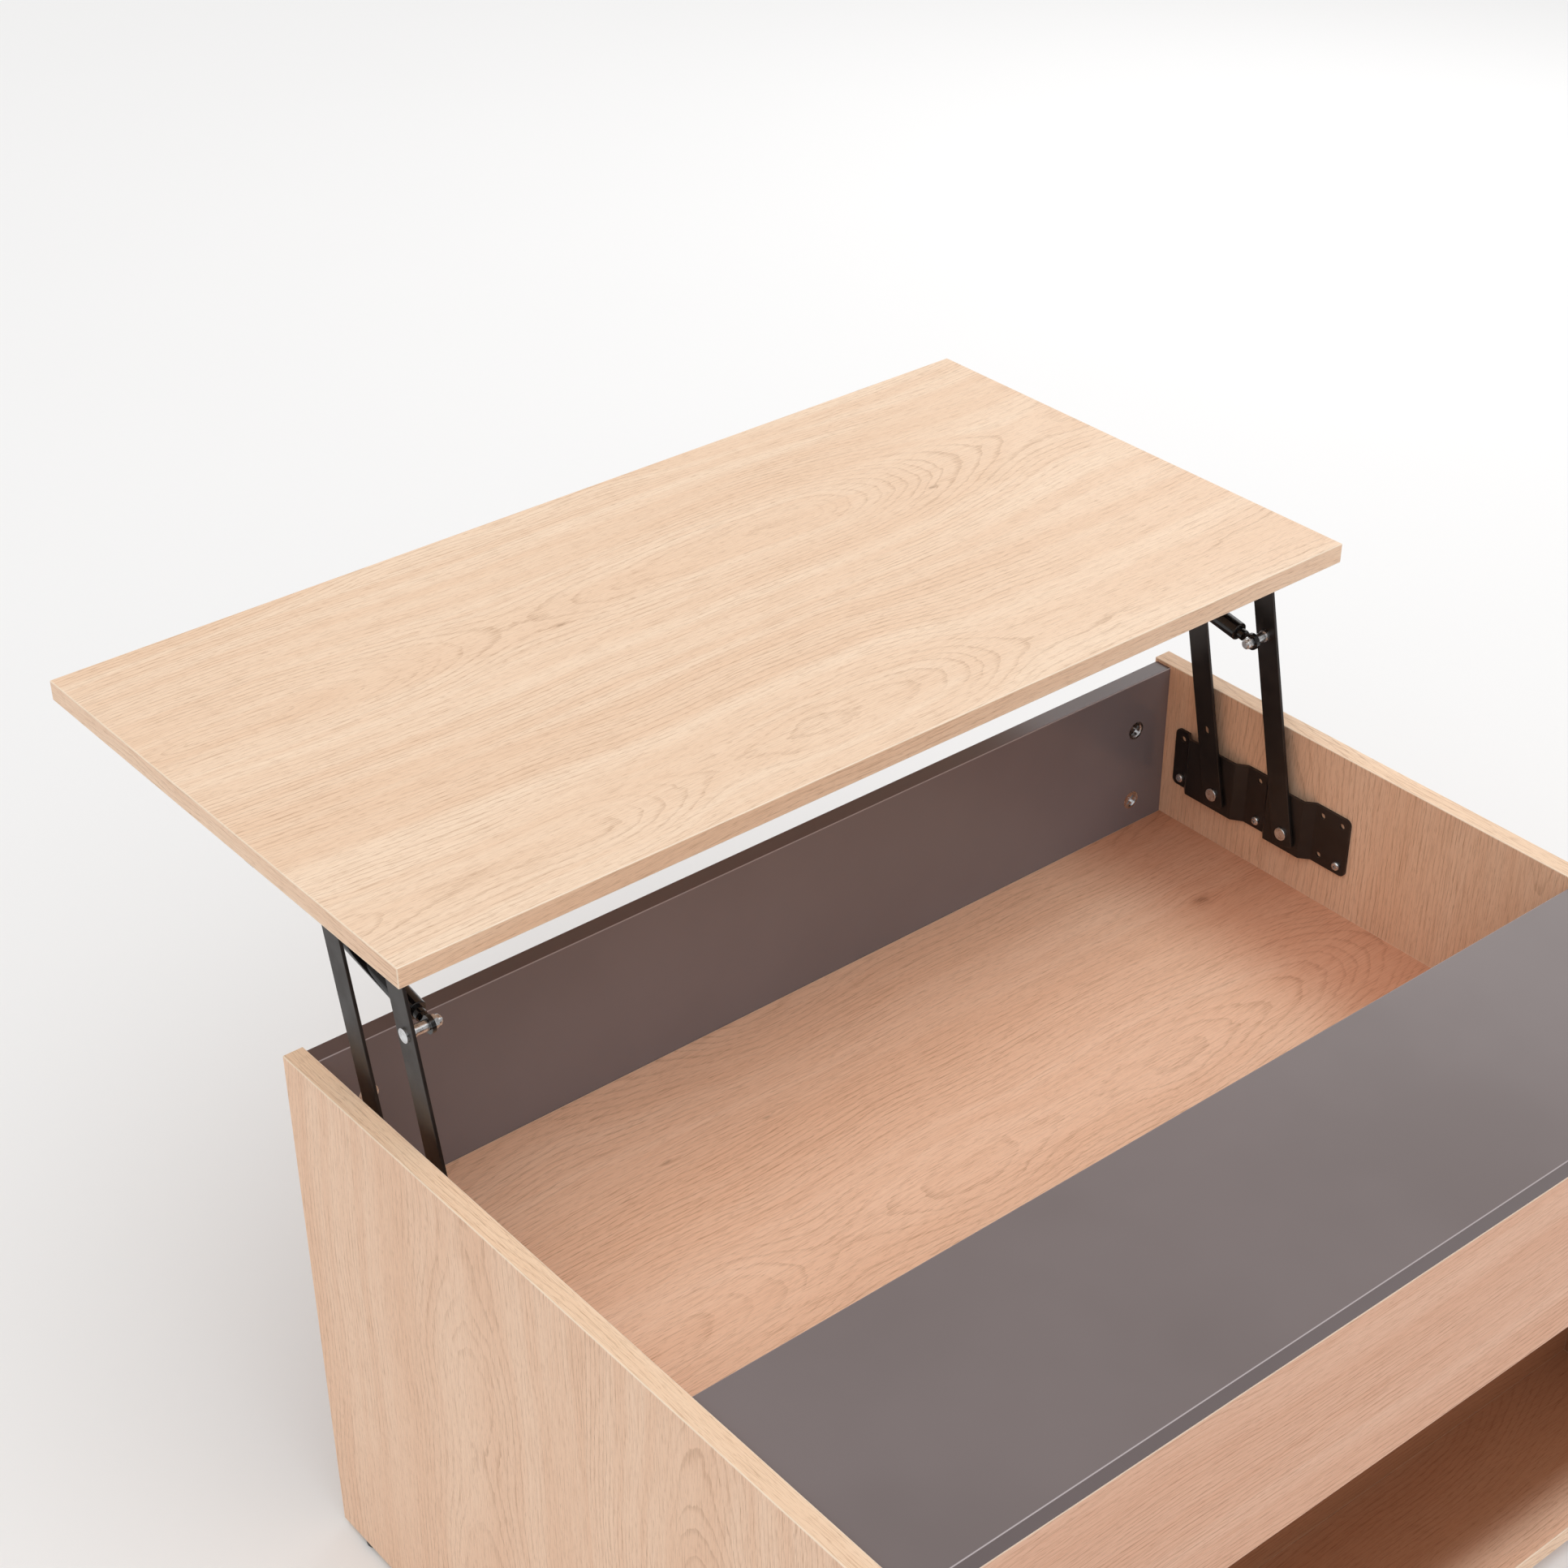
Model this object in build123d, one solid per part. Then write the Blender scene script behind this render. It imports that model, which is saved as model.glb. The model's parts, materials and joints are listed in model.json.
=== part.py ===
from build123d import *
import os
from math import acos, atan2, cos, degrees, hypot, radians, sin, tan
from typing import NamedTuple

# Lift-top coffee table, in millimetres, with the top raised.
# +Z is up. +Y points to the sitter, whom the top moves towards as it rises. +X runs along the table.
# The origin is on the floor, under the middle of the table's outline.
# Along the table, a place is given as a depth: how far in it is from the nearer side panel's inner face.

os.makedirs("parts", exist_ok=True)

# Boards
TABLE_LENGTH = 800.0
BOARD = 15.0
BODY_DEPTH = 580.0
PANEL_HEIGHT = 420.0
GLIDE_HEIGHT = 5.0
TOP_DEPTH = 420.0
TOP_REACH = 264.0  # raised top, in front of the side panels
TOP_RISE = 141.0  # raised top's underside above the side panels
EDGE_RADIUS = 0.8

# Places on the carcass, from the side panels' front edges and down from their top edges
FRONT_PANEL_INSET = 2.0
FRONT_PANEL_DROP = 2.5
COMPARTMENT_DEPTH = 133.0
FIXED_TOP_WIDTH = 181.0
FIXED_TOP_DROP = 5.0
REAR_RAIL_REACH = 165.0
NICHE_DEPTH = 115.0
NICHE_FLOOR = 393.0
BOTTOM_INSET = 2.0

# Cams and dowels in each inner board's ends, from the rim, or from the edge or board that is named
FRONT_PANEL_CAMS = (46.0, 110.0)
FRONT_PANEL_DOWEL = 78.0
FLOOR_CAM = 80.0  # from either long edge
FLOOR_DOWEL = 240.0
FIXED_TOP_CAMS = (50.0, 146.0)  # from the rear edge
FIXED_TOP_DOWEL = 98.0
REAR_RAIL_CAMS = (60.0, 116.0)
REAR_RAIL_DOWEL = 88.0
NICHE_BACK_CAMS = (50.0, 195.0)  # above the bottom panel
NICHE_BACK_DOWEL = 122.0
BOTTOM_CAM = 70.0  # from either long edge
BOTTOM_DOWEL = 215.0

# Cam fittings and dowels
CAM_RADIUS = 7.45
CAM_HEIGHT = 12.4
CAM_BACKSET = 34.0
CAM_POCKET_RADIUS = 7.5
CAM_POCKET_DEPTH = 12.5
CAM_DISH_RADIUS = 5.8
CAM_DISH_DEPTH = 0.8
CAM_SLOT = (9.0, 2.0, 2.6)
CAM_SLOT_TURNS = (45.0, 135.0)
CAM_ENTRY_RADIUS = 3.8
CAM_ENTRY_REACH = 3.5
BOLT_HOLE_RADIUS = 4.0
BOLT_SCREW = (2.5, -11.5, 0.0)  # radius, then the depths it runs between
BOLT_SHANK = (3.0, 0.0, 24.0)
BOLT_NECK = (2.0, 24.0, 31.0)
BOLT_HEAD = (3.3, 31.0, 35.0)
PANEL_HOLE = (2.55, -12.0)
DOWEL = (4.0, -10.0, 20.0)
DOWEL_HOLE = (4.05, -10.5, 20.5)
DOWEL_CHAMFER = 1.0

# Floor glides
GLIDE_RADIUS = 7.0
GLIDE_INSET = 30.0
GLIDE_FILLET = 1.5
GLIDE_DISH = (3.2, 2.6)
NAIL_SHANK = (1.0, 16.0)
NAIL_HEAD = (2.8, 1.2)
NAIL_CLEARANCE = 0.05

# Screws
SCREW_HEAD = (3.5, 2.2)
SCREW_DOME = 1.5
SCREW_SHANK_RADIUS = 1.75
SCREW_LENGTH = 12.0
SCREW_TIP = 3.0
SCREW_PILOT = (1.8, 12.4)
SCREW_CROSS = (4.0, 0.9, 1.3)

# Hinge linkage: pivots on the carcass, arms and the raised lean
REAR_PIVOT_FROM_FRONT = 151.0
PIVOT_SPACING = 71.5
PIVOT_DROP = 83.5
ARM_LENGTH = 210.0
ARM_LEAN = 12.4  # raised, past vertical towards the sitter
ARM_WIDTH = 19.0
ARM_END = 10.5
ARM_CORNER = 3.0
ARM_EDGE = 0.4
ARM_SLOT_HEIGHT = 54.0
ARM_SLOT = (5.0, 7.0)
CLOSED_GAP = 0.4  # lowered top's underside above the side panels

# Depths of the linkage's layers
SHEET = 2.0
PLATE_RAISE = 6.0
WASHER = 0.5
PLAY = 0.1
ARM_THICKNESS = 2.5
WASHER_DEPTH = PLATE_RAISE + SHEET
ARM_DEPTH = WASHER_DEPTH + WASHER + PLAY
ARM_INNER = ARM_DEPTH + ARM_THICKNESS
TOP_WASHER_DEPTH = ARM_INNER + PLAY
FLANGE_DEPTH = TOP_WASHER_DEPTH + WASHER
FLANGE_INNER = FLANGE_DEPTH + SHEET

# Rivets and washers
RIVET_RADIUS = 3.0
RIVET_HOLE_RADIUS = 3.02
PIVOT_HOLE_RADIUS = 3.08
RIVET_HEAD = (5.25, 1.6)
RIVET_TAIL = (4.5, 1.5)
RIVET_EDGE = 0.5
WASHER_RADIUS = 6.5

# Base plate: a sheet bent into three flats and two raised seats, as distances from the front
PLATE_ENDS = (30.0, 207.5)
PLATE_WALLS = ((43.5, 50.0), (96.5, 105.0), (126.5, 132.0), (166.0, 173.5))
PLATE_TOP = 49.0
PLATE_HEIGHT = 50.0
PLATE_CORNER = 5.0
PLATE_BEND = 1.2
PLATE_HOLE_RADIUS = 2.4
PLATE_SCREWS = ((38.0, 92.0), (118.0, 92.0), (199.0, 92.0))
PLATE_OPEN_HOLES = ((38.0, 56.5), (118.0, 56.5), (181.0, 56.5), (200.0, 56.5), (181.0, 91.0))

# Top bracket, as distances in front of its rear pivot
BRACKET_REAR = -11.0
BRACKET_LIP = 10.5
BRACKET_SLOPE = 14.0
BRACKET_WIDTH = 30.0
BRACKET_TAB = 8.0
BRACKET_TAB_BELOW = 5.5
BRACKET_CORNER = 5.0
BRACKET_BEND = 1.8
BRACKET_SCREWS = (4.0, 58.0, 112.0, 168.0)
BRACKET_SCREW_DEPTH = 33.0

# Gas strut: where its stud stands on the rear arm, and its raised length and slope
STUD_HEIGHT = 161.0
STRUT_LENGTH = 185.0
STRUT_SLOPE = 10.4
STUD_RADIUS = 2.5
STUD_HOLE_RADIUS = 2.52
STUD_PLAY_RADIUS = 2.58
STUD_HEAD = (5.0, 1.5)
COLLAR_RADIUS = 3.7
COLLAR_FLANGE = (4.5, 3.0)
COLLAR_LENGTH = 13.0
EYE_THICKNESS = 3.0
EYE_RADIUS = 6.3
EYE_REACH = 13.0
NECK_RADIUS = 4.2
NECK_LENGTH = 5.0
EYE_WIDTH = 7.6
TIP_RADIUS = 2.0
TIP_LENGTH = 4.0
TIP_CLEARANCE = 0.05
NUT_ACROSS_CORNERS = 9.24
NUT_HEX = 3.6
NUT_COLLAR = (3.8, 2.2)
NUT_CHAMFER = 0.6
THREAD_TIP = 0.9
TAB_CLEARANCE = 0.3
COLLAR_DEPTH = ARM_INNER
EYE_DEPTH = COLLAR_DEPTH + COLLAR_LENGTH + PLAY
NUT_DEPTH = EYE_DEPTH + EYE_THICKNESS + PLAY
THREAD_END = NUT_DEPTH + NUT_HEX + NUT_COLLAR[1] + THREAD_TIP
STRUT_DEPTH = EYE_DEPTH + EYE_THICKNESS / 2

# Gas strut, along its axis from the stud
TUBE_RADIUS = 7.0
TUBE_BORE = 5.8
TUBE_END = 105.0
TUBE_PLUG = 5.0
TUBE_MOUTH = 1.5
TUBE_EDGE = 0.9
ROD_RADIUS = 3.0
ROD_CLEARANCE = 0.06
GUIDE_LENGTH = 8.0
PISTON_START = 83.0
PISTON_LENGTH = 5.0
PISTON_CLEARANCE = 0.1

# Derived places
SIDES = {"left": -1, "right": 1}
INNER_X = TABLE_LENGTH / 2 - BOARD
FRONT = (BODY_DEPTH - TOP_REACH) / 2
REAR = FRONT - BODY_DEPTH
RIM = GLIDE_HEIGHT + PANEL_HEIGHT
TOP_UNDERSIDE = RIM + TOP_RISE
OVERCUT = 1.0

LEAN = radians(ARM_LEAN)
REAR_PIVOT = (FRONT - REAR_PIVOT_FROM_FRONT, RIM - PIVOT_DROP)
FRONT_PIVOT = (REAR_PIVOT[0] + PIVOT_SPACING, REAR_PIVOT[1])
REAR_TOP_PIVOT = (REAR_PIVOT[0] + ARM_LENGTH * sin(LEAN), REAR_PIVOT[1] + ARM_LENGTH * cos(LEAN))
FRONT_TOP_PIVOT = (REAR_TOP_PIVOT[0] + PIVOT_SPACING, REAR_TOP_PIVOT[1])
STUD = (REAR_PIVOT[0] + STUD_HEIGHT * sin(LEAN), REAR_PIVOT[1] + STUD_HEIGHT * cos(LEAN))
SLOPE = radians(STRUT_SLOPE)
ROD_EYE = (STUD[0] + STRUT_LENGTH * cos(SLOPE), STUD[1] + STRUT_LENGTH * sin(SLOPE))

# Motion, from the raised top to the lowered one
PIVOT_BELOW_TOP = TOP_UNDERSIDE - REAR_TOP_PIVOT[1]
CLOSED_RISE = RIM + CLOSED_GAP - PIVOT_BELOW_TOP - REAR_PIVOT[1]
LIFT_ANGLE = LEAN + acos(CLOSED_RISE / ARM_LENGTH)


def lowered_strut():
    """The strut's length and slope with the top lowered."""
    lean = LEAN - LIFT_ANGLE
    to_top = (ARM_LENGTH - STUD_HEIGHT) * sin(lean), (ARM_LENGTH - STUD_HEIGHT) * cos(lean)
    y = to_top[0] + ROD_EYE[0] - REAR_TOP_PIVOT[0]
    z = to_top[1] + ROD_EYE[1] - REAR_TOP_PIVOT[1]
    return hypot(y, z), degrees(atan2(z, y))


class InnerBoard(NamedTuple):
    """A board between the side panels: its faces, and the fixings in each of its ends."""

    y: tuple
    z: tuple
    cam_face: tuple
    cams: list
    dowels: list


def upright_board(y_rear, z_low, z_high, cam_face, cam_heights, dowel_heights):
    y_middle = y_rear + BOARD / 2
    return InnerBoard(
        (y_rear, y_rear + BOARD),
        (z_low, z_high),
        cam_face,
        [(y_middle, z) for z in cam_heights],
        [(y_middle, z) for z in dowel_heights],
    )


def flat_board(z_high, y_rear, y_front, cam_places, dowel_places):
    z_middle = z_high - BOARD / 2
    return InnerBoard(
        (y_rear, y_front),
        (z_high - BOARD, z_high),
        (0, 0, -1),
        [(y, z_middle) for y in cam_places],
        [(y, z_middle) for y in dowel_places],
    )


FLOOR_TOP = RIM - COMPARTMENT_DEPTH
FRONT_PANEL_REAR = FRONT - FRONT_PANEL_INSET - BOARD
BOTTOM_TOP = RIM - NICHE_FLOOR
BOARDS = {
    "front_panel": upright_board(
        FRONT_PANEL_REAR, FLOOR_TOP - BOARD, RIM - FRONT_PANEL_DROP, (0, -1, 0),
        [RIM - drop for drop in FRONT_PANEL_CAMS], [RIM - FRONT_PANEL_DOWEL],
    ),
    "compartment_floor": flat_board(
        FLOOR_TOP, REAR + BOARD, FRONT_PANEL_REAR,
        [FRONT - FLOOR_CAM, REAR + FLOOR_CAM], [FRONT - FLOOR_DOWEL, REAR + FLOOR_DOWEL],
    ),
    "fixed_top_panel": flat_board(
        RIM - FIXED_TOP_DROP, REAR, REAR + FIXED_TOP_WIDTH,
        [REAR + back for back in FIXED_TOP_CAMS], [REAR + FIXED_TOP_DOWEL],
    ),
    "rear_rail": upright_board(
        REAR, RIM - REAR_RAIL_REACH, RIM - FIXED_TOP_DROP - BOARD, (0, 1, 0),
        [RIM - drop for drop in REAR_RAIL_CAMS], [RIM - REAR_RAIL_DOWEL],
    ),
    "niche_back_panel": upright_board(
        REAR + NICHE_DEPTH, BOTTOM_TOP, FLOOR_TOP - BOARD, (0, 1, 0),
        [BOTTOM_TOP + rise for rise in NICHE_BACK_CAMS], [BOTTOM_TOP + NICHE_BACK_DOWEL],
    ),
    "bottom_panel": flat_board(
        BOTTOM_TOP, REAR + BOTTOM_INSET, FRONT - BOTTOM_INSET,
        [REAR + BOTTOM_CAM, FRONT - BOTTOM_CAM], [REAR + BOTTOM_DOWEL, FRONT - BOTTOM_DOWEL],
    ),
}


def at(side, depth):
    """X of a place this far in from a side panel's inner face; side is -1 or 1."""
    return side * (INNER_X - depth)


def block(x0, x1, y0, y1, z0, z1):
    return Pos((x0 + x1) / 2, (y0 + y1) / 2, (z0 + z1) / 2) * Box(abs(x1 - x0), abs(y1 - y0), abs(z1 - z0))


def soft_block(x0, x1, y0, y1, z0, z1):
    """A board with its edges eased."""
    board = block(x0, x1, y0, y1, z0, z1)
    return fillet(board.edges(), EDGE_RADIUS)


def bar(side, radius, depth0, depth1, place):
    """A round bar along X, between two depths."""
    x0, x1 = at(side, depth0), at(side, depth1)
    return Pos((x0 + x1) / 2, place[0], place[1]) * Rot(0, 90, 0) * Cylinder(radius, abs(x1 - x0))


def ring(side, outer, inner, depth0, depth1, place):
    return bar(side, outer, depth0, depth1, place) - bar(side, inner, depth0 - OVERCUT, depth1 + OVERCUT, place)


def facing(point, normal, x_direction):
    """The location of a fitting set into a face: its own +Z is the face's normal."""
    return Plane(origin=point, x_dir=x_direction, z_dir=normal).location


def write(name, shapes):
    """One file for a node: a single solid, or a group of separate ones."""
    node = shapes if not isinstance(shapes, list) else Compound(children=shapes)
    export_step(node, f"parts/{name}.step")


# Carcass

def cam_location(side, board, place):
    """The middle of a cam lock's visible face, with its own +X towards the side panel."""
    offset = BOARD / 2
    point = (
        at(side, CAM_BACKSET),
        place[0] + board.cam_face[1] * offset,
        place[1] + board.cam_face[2] * offset,
    )
    return facing(point, board.cam_face, (side, 0, 0))


def inner_board(board):
    body = soft_block(-INNER_X, INNER_X, *board.y, *board.z)
    pocket = Pos(0, 0, (OVERCUT - CAM_POCKET_DEPTH) / 2) * Cylinder(
        CAM_POCKET_RADIUS, CAM_POCKET_DEPTH + OVERCUT
    )
    for side in SIDES.values():
        for place in board.cams:
            body -= cam_location(side, board, place) * pocket
            body -= bar(side, BOLT_HOLE_RADIUS, -OVERCUT, CAM_BACKSET, place)
        for place in board.dowels:
            body -= bar(side, DOWEL_HOLE[0], -OVERCUT, DOWEL_HOLE[2], place)
    return body


def cam_lock():
    """A cam lock in its own frame: its visible face is at Z = 0, and its bolt comes in along X."""
    middle = -BOARD / 2
    lock = Pos(0, 0, -CAM_HEIGHT / 2) * Cylinder(CAM_RADIUS, CAM_HEIGHT)
    lock -= Pos(0, 0, -CAM_DISH_DEPTH / 2) * Cylinder(CAM_DISH_RADIUS, CAM_DISH_DEPTH)
    slot_length, slot_width, slot_depth = CAM_SLOT
    slot = Pos(0, 0, -slot_depth / 2) * Box(slot_length, slot_width, slot_depth)
    for turn in CAM_SLOT_TURNS:
        lock -= Rot(0, 0, turn) * slot
    entry = CAM_RADIUS + OVERCUT + CAM_ENTRY_REACH
    lock -= Pos(entry / 2 - CAM_ENTRY_REACH, 0, middle) * Rot(0, 90, 0) * Cylinder(CAM_ENTRY_RADIUS, entry)
    return lock


def cam_bolt(side, place):
    bolt = bar(side, *BOLT_SCREW, place)
    for length in (BOLT_SHANK, BOLT_NECK, BOLT_HEAD):
        bolt += bar(side, *length, place)
    return bolt


def dowel(side, place):
    pin = bar(side, *DOWEL, place)
    return chamfer(pin.edges().filter_by(GeomType.CIRCLE), DOWEL_CHAMFER)


def screw_hole_in_panel(side, place):
    radius, depth = SCREW_PILOT
    return bar(side, radius, SHEET - depth, OVERCUT, place)


def plate_places(pairs):
    """Places on a base plate, from distances behind the front and below the rim."""
    return [(FRONT - back, RIM - drop) for back, drop in pairs]


def side_panel(side):
    outer_x = side * TABLE_LENGTH / 2
    panel = soft_block(min(outer_x, at(side, 0)), max(outer_x, at(side, 0)), REAR, FRONT, GLIDE_HEIGHT, RIM)
    for board in BOARDS.values():
        for place in board.cams:
            panel -= bar(side, *PANEL_HOLE, OVERCUT, place)
        for place in board.dowels:
            panel -= bar(side, DOWEL_HOLE[0], DOWEL_HOLE[1], OVERCUT, place)
    for place in plate_places(PLATE_SCREWS):
        panel -= screw_hole_in_panel(side, place)
    for place in glide_places(side):
        radius, length = NAIL_SHANK
        hole = Cylinder(radius + NAIL_CLEARANCE, length + OVERCUT)
        panel -= Pos(place[0], place[1], GLIDE_HEIGHT + (length - OVERCUT) / 2) * hole
    return panel


def glide_places(side):
    x = side * (TABLE_LENGTH - BOARD) / 2
    return [(x, REAR + GLIDE_INSET), (x, FRONT - GLIDE_INSET)]


def floor_glide(place):
    foot = Pos(0, 0, GLIDE_HEIGHT / 2) * Cylinder(GLIDE_RADIUS, GLIDE_HEIGHT)
    foot = fillet(foot.edges().group_by(Axis.Z)[0], GLIDE_FILLET)
    foot -= Pos(0, 0, GLIDE_DISH[1] / 2) * Cylinder(GLIDE_DISH[0], GLIDE_DISH[1])
    foot -= Pos(0, 0, GLIDE_HEIGHT / 2) * Cylinder(NAIL_SHANK[0] + NAIL_CLEARANCE, GLIDE_HEIGHT)
    return Pos(place[0], place[1], 0) * foot


def glide_nail(place):
    radius, length = NAIL_SHANK
    head_radius, head_height = NAIL_HEAD
    head_top = GLIDE_DISH[1]
    nail_top = GLIDE_HEIGHT + length - OVERCUT
    head = Pos(0, 0, head_top - head_height / 2) * Cylinder(head_radius, head_height)
    shank = Pos(0, 0, (head_top + nail_top) / 2) * Cylinder(radius, nail_top - head_top)
    return Pos(place[0], place[1], 0) * (head + shank)


# Fasteners

def pan_screw():
    """A cross-head screw in its own frame: the head sits on Z = 0 and the shank runs down."""
    radius, height = SCREW_HEAD
    head = Pos(0, 0, height / 2) * Cylinder(radius, height)
    head = fillet(head.edges().group_by(Axis.Z)[-1], SCREW_DOME)
    cross_length, cross_width, cross_depth = SCREW_CROSS
    cross = Pos(0, 0, height - cross_depth / 2) * Box(cross_length, cross_width, cross_depth)
    head -= cross
    head -= Rot(0, 0, 90) * cross
    straight = SCREW_LENGTH - SCREW_TIP
    shank = Pos(0, 0, -straight / 2) * Cylinder(SCREW_SHANK_RADIUS, straight)
    tip = Pos(0, 0, -straight - SCREW_TIP / 2) * Cone(SCREW_CROSS[1] / 2, SCREW_SHANK_RADIUS, SCREW_TIP)
    return head + shank + tip


def rivet(side, place, head_depth, tail_depth):
    """A rivet from the depth under its flat head out to its formed tail."""
    head = bar(side, RIVET_HEAD[0], head_depth, head_depth + RIVET_HEAD[1], place)
    head_face = head.edges().filter_by(GeomType.CIRCLE).sort_by(Axis.X)
    head = fillet(head_face[0] if side > 0 else head_face[-1], RIVET_EDGE)
    shank = bar(side, RIVET_RADIUS, tail_depth - RIVET_TAIL[1], head_depth, place)
    tail = bar(side, RIVET_TAIL[0], tail_depth - RIVET_TAIL[1], tail_depth, place)
    return head + shank + tail


def lock_nut(side, place):
    """A hexagon nut with a round locking collar, on the strut's inner side."""
    collar_radius, collar_height = NUT_COLLAR
    prism = extrude(RegularPolygon(NUT_ACROSS_CORNERS / 2, 6), NUT_HEX)
    turned = Pos(0, 0, NUT_HEX / 2) * Cylinder(NUT_ACROSS_CORNERS / 2, NUT_HEX)
    turned = chamfer(turned.edges().filter_by(GeomType.CIRCLE), NUT_CHAMFER)
    collar = Pos(0, 0, NUT_HEX + collar_height / 2) * Cylinder(collar_radius, collar_height)
    collar = fillet(collar.edges().group_by(Axis.Z)[-1], NUT_CHAMFER)
    nut = (prism & turned) + collar
    bore = Cylinder(STUD_HOLE_RADIUS, NUT_ACROSS_CORNERS * 2)
    return facing((at(side, NUT_DEPTH), *place), (-side, 0, 0), (0, 1, 0)) * (nut - bore)


# Hinge linkage

def base_plate(side):
    """The bent sheet that carries both lower pivots."""
    outside, inside = [(PLATE_ENDS[0], 0.0)], [(PLATE_ENDS[0], SHEET)]
    for number, (start, end) in enumerate(PLATE_WALLS):
        rising = number % 2 == 0
        low, high = (0.0, PLATE_RAISE) if rising else (PLATE_RAISE, 0.0)
        bend = SHEET * tan(atan2(PLATE_RAISE, end - start) / 2) * (-1 if rising else 1)
        outside += [(start, low), (end, high)]
        inside += [(start + bend, low + SHEET), (end + bend, high + SHEET)]
    outside.append((PLATE_ENDS[1], 0.0))
    inside.append((PLATE_ENDS[1], SHEET))
    outline = [(at(side, depth), FRONT - back) for back, depth in outside + inside[::-1]]
    section = make_face(Polyline(*outline, close=True))
    ends = section.vertices().group_by(Axis.Y)
    bends = [v for v in section.vertices() if v not in ends[0] and v not in ends[-1]]
    section = fillet(bends, PLATE_BEND)
    plate = extrude(Pos(0, 0, RIM - PLATE_TOP - PLATE_HEIGHT) * section, PLATE_HEIGHT, dir=(0, 0, 1))
    corners = plate.edges().filter_by(Axis.X)
    plate = fillet(corners, PLATE_CORNER)
    for place in plate_places(PLATE_SCREWS + PLATE_OPEN_HOLES):
        plate -= bar(side, PLATE_HOLE_RADIUS, -OVERCUT, SHEET + OVERCUT, place)
    for place in (REAR_PIVOT, FRONT_PIVOT):
        plate -= bar(side, RIVET_HOLE_RADIUS, 0, WASHER_DEPTH + OVERCUT, place)
    return plate


def along_arm(pivot, height):
    """A place this far up an arm from its lower pivot."""
    return pivot[0] + height * sin(LEAN), pivot[1] + height * cos(LEAN)


def arm(side, pivot):
    """A flat bar from a lower pivot to the top bracket."""
    x = min(at(side, ARM_DEPTH), at(side, ARM_INNER))
    middle = along_arm(pivot, ARM_LENGTH / 2)
    outline = Pos(*middle) * Rot(0, 0, -ARM_LEAN) * RectangleRounded(
        ARM_WIDTH, ARM_LENGTH + 2 * ARM_END, ARM_CORNER
    )
    flat = extrude(Plane.YZ.offset(x) * outline, ARM_THICKNESS, dir=(1, 0, 0))
    flat = fillet(flat.edges().filter_by(Axis.X, reverse=True), ARM_EDGE)
    for place in (pivot, along_arm(pivot, ARM_LENGTH)):
        flat -= bar(side, PIVOT_HOLE_RADIUS, 0, FLANGE_INNER, place)
    return flat


def front_arm(side):
    """The arm nearer the sitter, with a spare slot above its lower pivot."""
    width, height = ARM_SLOT
    slot = Pos(*along_arm(FRONT_PIVOT, ARM_SLOT_HEIGHT)) * Rot(0, 0, 90 - ARM_LEAN) * SlotOverall(height, width)
    x = at(side, ARM_DEPTH + ARM_THICKNESS / 2)
    return arm(side, FRONT_PIVOT) - extrude(Plane.YZ.offset(x) * slot, ARM_THICKNESS, both=True)


def rear_arm(side):
    """The arm that carries the gas strut's stud."""
    return arm(side, REAR_PIVOT) - bar(side, STUD_HOLE_RADIUS, 0, FLANGE_INNER, STUD)


def top_bracket(side):
    """The angle under the top, with a tab that hangs down to the gas strut's far end."""
    rear = REAR_TOP_PIVOT[0] + BRACKET_REAR
    front = ROD_EYE[0] + BRACKET_TAB
    lip = REAR_TOP_PIVOT[1] - BRACKET_LIP
    tab_rear = ROD_EYE[0] - BRACKET_TAB
    tab_low = ROD_EYE[1] - BRACKET_TAB_BELOW
    outline = Polyline(
        (rear, TOP_UNDERSIDE), (front, TOP_UNDERSIDE), (front, tab_low),
        (tab_rear, tab_low), (tab_rear - BRACKET_SLOPE, lip), (rear, lip),
        close=True,
    )
    face = make_face(outline)
    face = fillet([v for v in face.vertices() if v.Y < TOP_UNDERSIDE - SHEET], BRACKET_CORNER)
    x = min(at(side, FLANGE_DEPTH), at(side, FLANGE_INNER))
    upright = extrude(Plane.YZ.offset(x) * face, SHEET, dir=(1, 0, 0))
    flat = block(
        at(side, FLANGE_DEPTH), at(side, FLANGE_DEPTH + BRACKET_WIDTH), rear, front,
        TOP_UNDERSIDE - SHEET, TOP_UNDERSIDE,
    )
    far_corners = flat.edges().filter_by(Axis.Z).sort_by(Axis.X)
    flat = fillet(far_corners[:2] if side > 0 else far_corners[2:], BRACKET_CORNER)
    bracket = upright + flat
    along = bracket.edges().filter_by(Axis.Y).filter_by_position(Axis.Z, TOP_UNDERSIDE, TOP_UNDERSIDE)
    outer_edge = along.sort_by(Axis.X)[-1 if side > 0 else 0]
    bracket = fillet(outer_edge, BRACKET_BEND)
    for place in (REAR_TOP_PIVOT, FRONT_TOP_PIVOT):
        bracket -= bar(side, RIVET_HOLE_RADIUS, 0, FLANGE_INNER + OVERCUT, place)
    for x, y in bracket_screw_places(side):
        bracket -= Pos(x, y, TOP_UNDERSIDE - SHEET / 2) * Cylinder(PLATE_HOLE_RADIUS, SHEET * 2)
    return bracket


def bracket_screw_places(side):
    return [(at(side, BRACKET_SCREW_DEPTH), REAR_TOP_PIVOT[0] + distance) for distance in BRACKET_SCREWS]


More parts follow.
